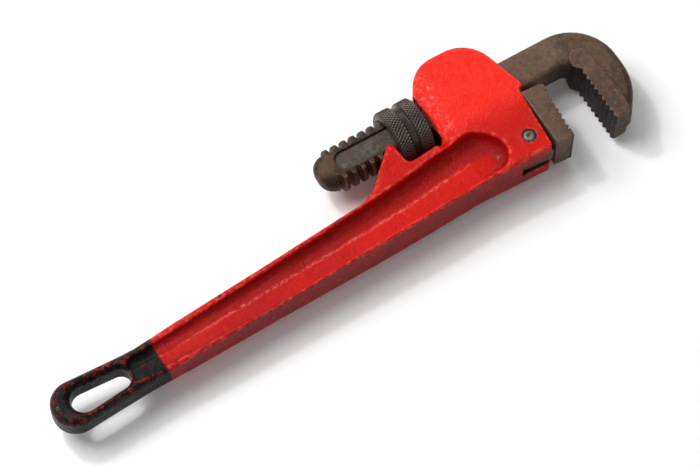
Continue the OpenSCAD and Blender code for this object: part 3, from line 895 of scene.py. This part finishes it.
def jaw_look():
    k = Look("oxidised forged steel")
    big = k.noise(22, 4)
    mid = k.noise(110, 6, 0.65)
    fleck = k.noise(300, 6, 0.78)
    small = k.noise(900, 4, 0.65)
    x = k.axis(0)
    light = k.mix(k.span(big, 0.38, 0.62), (0.056, 0.036, 0.024), (0.110, 0.071, 0.046))
    light = k.mix(k.span(fleck, 0.50, 0.62, 0, 0.70), light, (0.165, 0.088, 0.047))
    light = k.mix(k.span(fleck, 0.48, 0.38, 0, 0.5), light, (0.036, 0.026, 0.021))
    rust = k.mix(k.span(mid, 0.50, 0.64, 0, 0.6), light, (0.120, 0.062, 0.036))
    dark = k.mix(k.span(mid, 0.42, 0.60), (0.026, 0.014, 0.009), (0.082, 0.038, 0.019))
    dark = k.mix(k.span(fleck, 0.48, 0.36, 0, 0.7), dark, (0.018, 0.013, 0.011))
    start = (CENTRE[0] + 44) * MM
    colour = k.mix(k.span(x, start - 0.003, start + 0.003), dark, rust)
    # The worn grey panel in each side of the shank
    panel = k.mix(k.span(fleck, 0.36, 0.62), (0.034, 0.029, 0.024), (0.092, 0.080, 0.068))
    panel = k.mix(k.span(mid, 0.50, 0.62, 0, 0.7), panel, (0.070, 0.042, 0.026))
    colour = k.mix(k.value("panel"), colour, panel)
    # Painted shade in the hollows
    colour = k.mix(k.span(k.edge, -0.03, -0.25, 0, 0.9), colour, (0.012, 0.008, 0.006))
    colour = k.mix(k.math("MULTIPLY", k.span(k.edge, 0.08, 0.4, 0, 0.6), k.span(fleck, 0.38, 0.58)),
                   colour, (0.27, 0.20, 0.15))
    # Grime on the teeth and in the throat, with painted shade where they face away from the light
    colour = k.mix(k.math("MULTIPLY", k.value("grime_and_shade"), k.span(fleck, 0.2, 0.8, 0.99, 0.85)),
                   colour, (0.0065, 0.0048, 0.0038))
    rough = k.span(mid, 0.3, 0.7, 0.42, 0.62)
    n = k.bump(small, 0.30, 0.0003)
    n = k.bump(fleck, 0.35, 0.0004, n)
    n = k.bump(mid, 0.40, 0.0009, n)
    return k.finish(colour, rough, n, metallic=0.08, specular=0.22)


def nut_look():
    k = Look("oily dark steel")
    big = k.noise(60, 4)
    small = k.noise(700, 4, 0.6)
    colour = k.mix(k.span(big, 0.35, 0.65), (0.020, 0.016, 0.014), (0.050, 0.035, 0.025))
    # Lighter on the knurl's tips and edges: rubbed steel, with a painted highlight
    colour = k.mix(k.span(k.edge, 0.01, 0.10, 0, 0.7), colour, (0.17, 0.13, 0.10))
    # Painted shade in the groove and the knurl's hollows
    colour = k.mix(k.span(k.edge, -0.01, -0.09, 0, 0.9), colour, (0.007, 0.0055, 0.005))
    rough = k.span(big, 0.3, 0.7, 0.26, 0.44)
    n = k.bump(small, 0.2, 0.0002)
    n = k.bump(big, 0.2, 0.0004, n)
    return k.finish(colour, rough, n, metallic=0.5)


def plain_steel(name, dark, light, rough_lo, rough_hi, metallic):
    k = Look(name)
    mid = k.noise(240, 4, 0.6)
    small = k.noise(1500, 3)
    colour = k.mix(k.span(mid, 0.35, 0.65), dark, light)
    rough = k.span(mid, 0.3, 0.7, rough_lo, rough_hi)
    n = k.bump(small, 0.2, 0.0001)
    n = k.bump(mid, 0.2, 0.0003, n)
    return k.finish(colour, rough, n, metallic=metallic)


def give(ob, material):
    ob.data.materials.clear()
    ob.data.materials.append(material)


paint = paint_look()
jaw_steel = jaw_look()
nut_steel = nut_look()
pin_steel = plain_steel("dull pin steel", (0.10, 0.085, 0.075), (0.24, 0.21, 0.19), 0.35, 0.55, 0.6)
spring_steel = plain_steel("spring steel", (0.16, 0.16, 0.17), (0.30, 0.30, 0.31), 0.25, 0.45, 0.9)

# ---------------------------------------------------------------- the pieces and what carries them

for build, node, body, slot, material in (
        (casting, "handle_housing", "wrench", "red_casting", paint),
        (heel_jaw, "heel_jaw", "wrench", "jaw_steel", jaw_steel),
        (pin, "heel_jaw_pin", "wrench", "pin_steel", pin_steel),
        (hook_jaw, "hook_jaw", "hook", "jaw_steel", jaw_steel),
        (adjusting_nut, "adjusting_nut", "nut", "nut_steel", nut_steel)):
    piece = build()
    give(piece, material)
    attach(piece, body)
    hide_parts(node)

spring = coil()
give(spring, spring_steel)
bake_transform(spring)
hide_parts("coil_spring")

for node in ("flat_spring", "spring_rivet"):
    give(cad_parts[node], spring_steel)

# ---------------------------------------------------------------- floor, light and camera


def at(x, y, z):
    """A point given in millimetres about the nut."""
    return Vector((np.array([x, y, z]) + CENTRE) * MM)


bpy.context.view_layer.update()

floor_mesh = bpy.data.meshes.new("floor")
FLOOR = 6                               # half its width in metres
floor_corners = [(-FLOOR, -FLOOR, 0), (FLOOR, -FLOOR, 0), (FLOOR, FLOOR, 0), (-FLOOR, FLOOR, 0)]
floor_mesh.from_pydata(floor_corners, [], [(0, 1, 2, 3)])
floor = bpy.data.objects.new("floor", floor_mesh)
bpy.context.scene.collection.objects.link(floor)
floor.location.z = -0.0002              # just clear of the pieces
floor_look = Look("pale floor")
soft = floor_look.noise(3.0, 2)
pale = floor_look.mix(floor_look.span(soft, 0.3, 0.7), (0.90, 0.90, 0.90), (0.93, 0.93, 0.93))
give(floor, floor_look.finish(pale, 0.7, floor_look.bump(soft, 0.02, 0.001)))


def lamp(name, place, target, size, power):
    """A round white lamp of the given diameter in metres and power in watts."""
    data = bpy.data.lights.new(name, "AREA")
    data.shape = "DISK"
    data.size = size
    data.energy = power
    ob = bpy.data.objects.new(name, data)
    bpy.context.scene.collection.objects.link(ob)
    ob.location = place
    ob.rotation_euler = (target - place).to_track_quat("-Z", "Y").to_euler()


aim = at(-60, -25, 0)
lamp("key", at(-640, 640, 1220), aim, 1.2, 21)
lamp("glint", at(-420, 760, 1250), aim, 0.12, 5)
lamp("back", at(600, 1100, 900), aim, 0.9, 4.5)
lamp("fill", at(500, -1200, 900), aim, 1.2, 1.5)

world = bpy.data.worlds.new("studio")
world.use_nodes = True
back = world.node_tree.nodes["Background"]
back.inputs["Color"].default_value = (1, 1, 1, 1)
back.inputs["Strength"].default_value = 0.34
bpy.context.scene.world = world

cam_data = bpy.data.cameras.new("camera")
cam_data.lens = 144
cam_data.sensor_width = 36
cam_data.clip_end = 20
cam = bpy.data.objects.new("camera", cam_data)
bpy.context.scene.collection.objects.link(cam)
cam.location = at(-468.4, -716.2, 1540.7)
cam.rotation_euler = (at(-65.5, -43.0, 1.0) - cam.location).to_track_quat("-Z", "Y").to_euler()
bpy.context.scene.camera = cam
bpy.context.scene.view_settings.view_transform = "Standard"
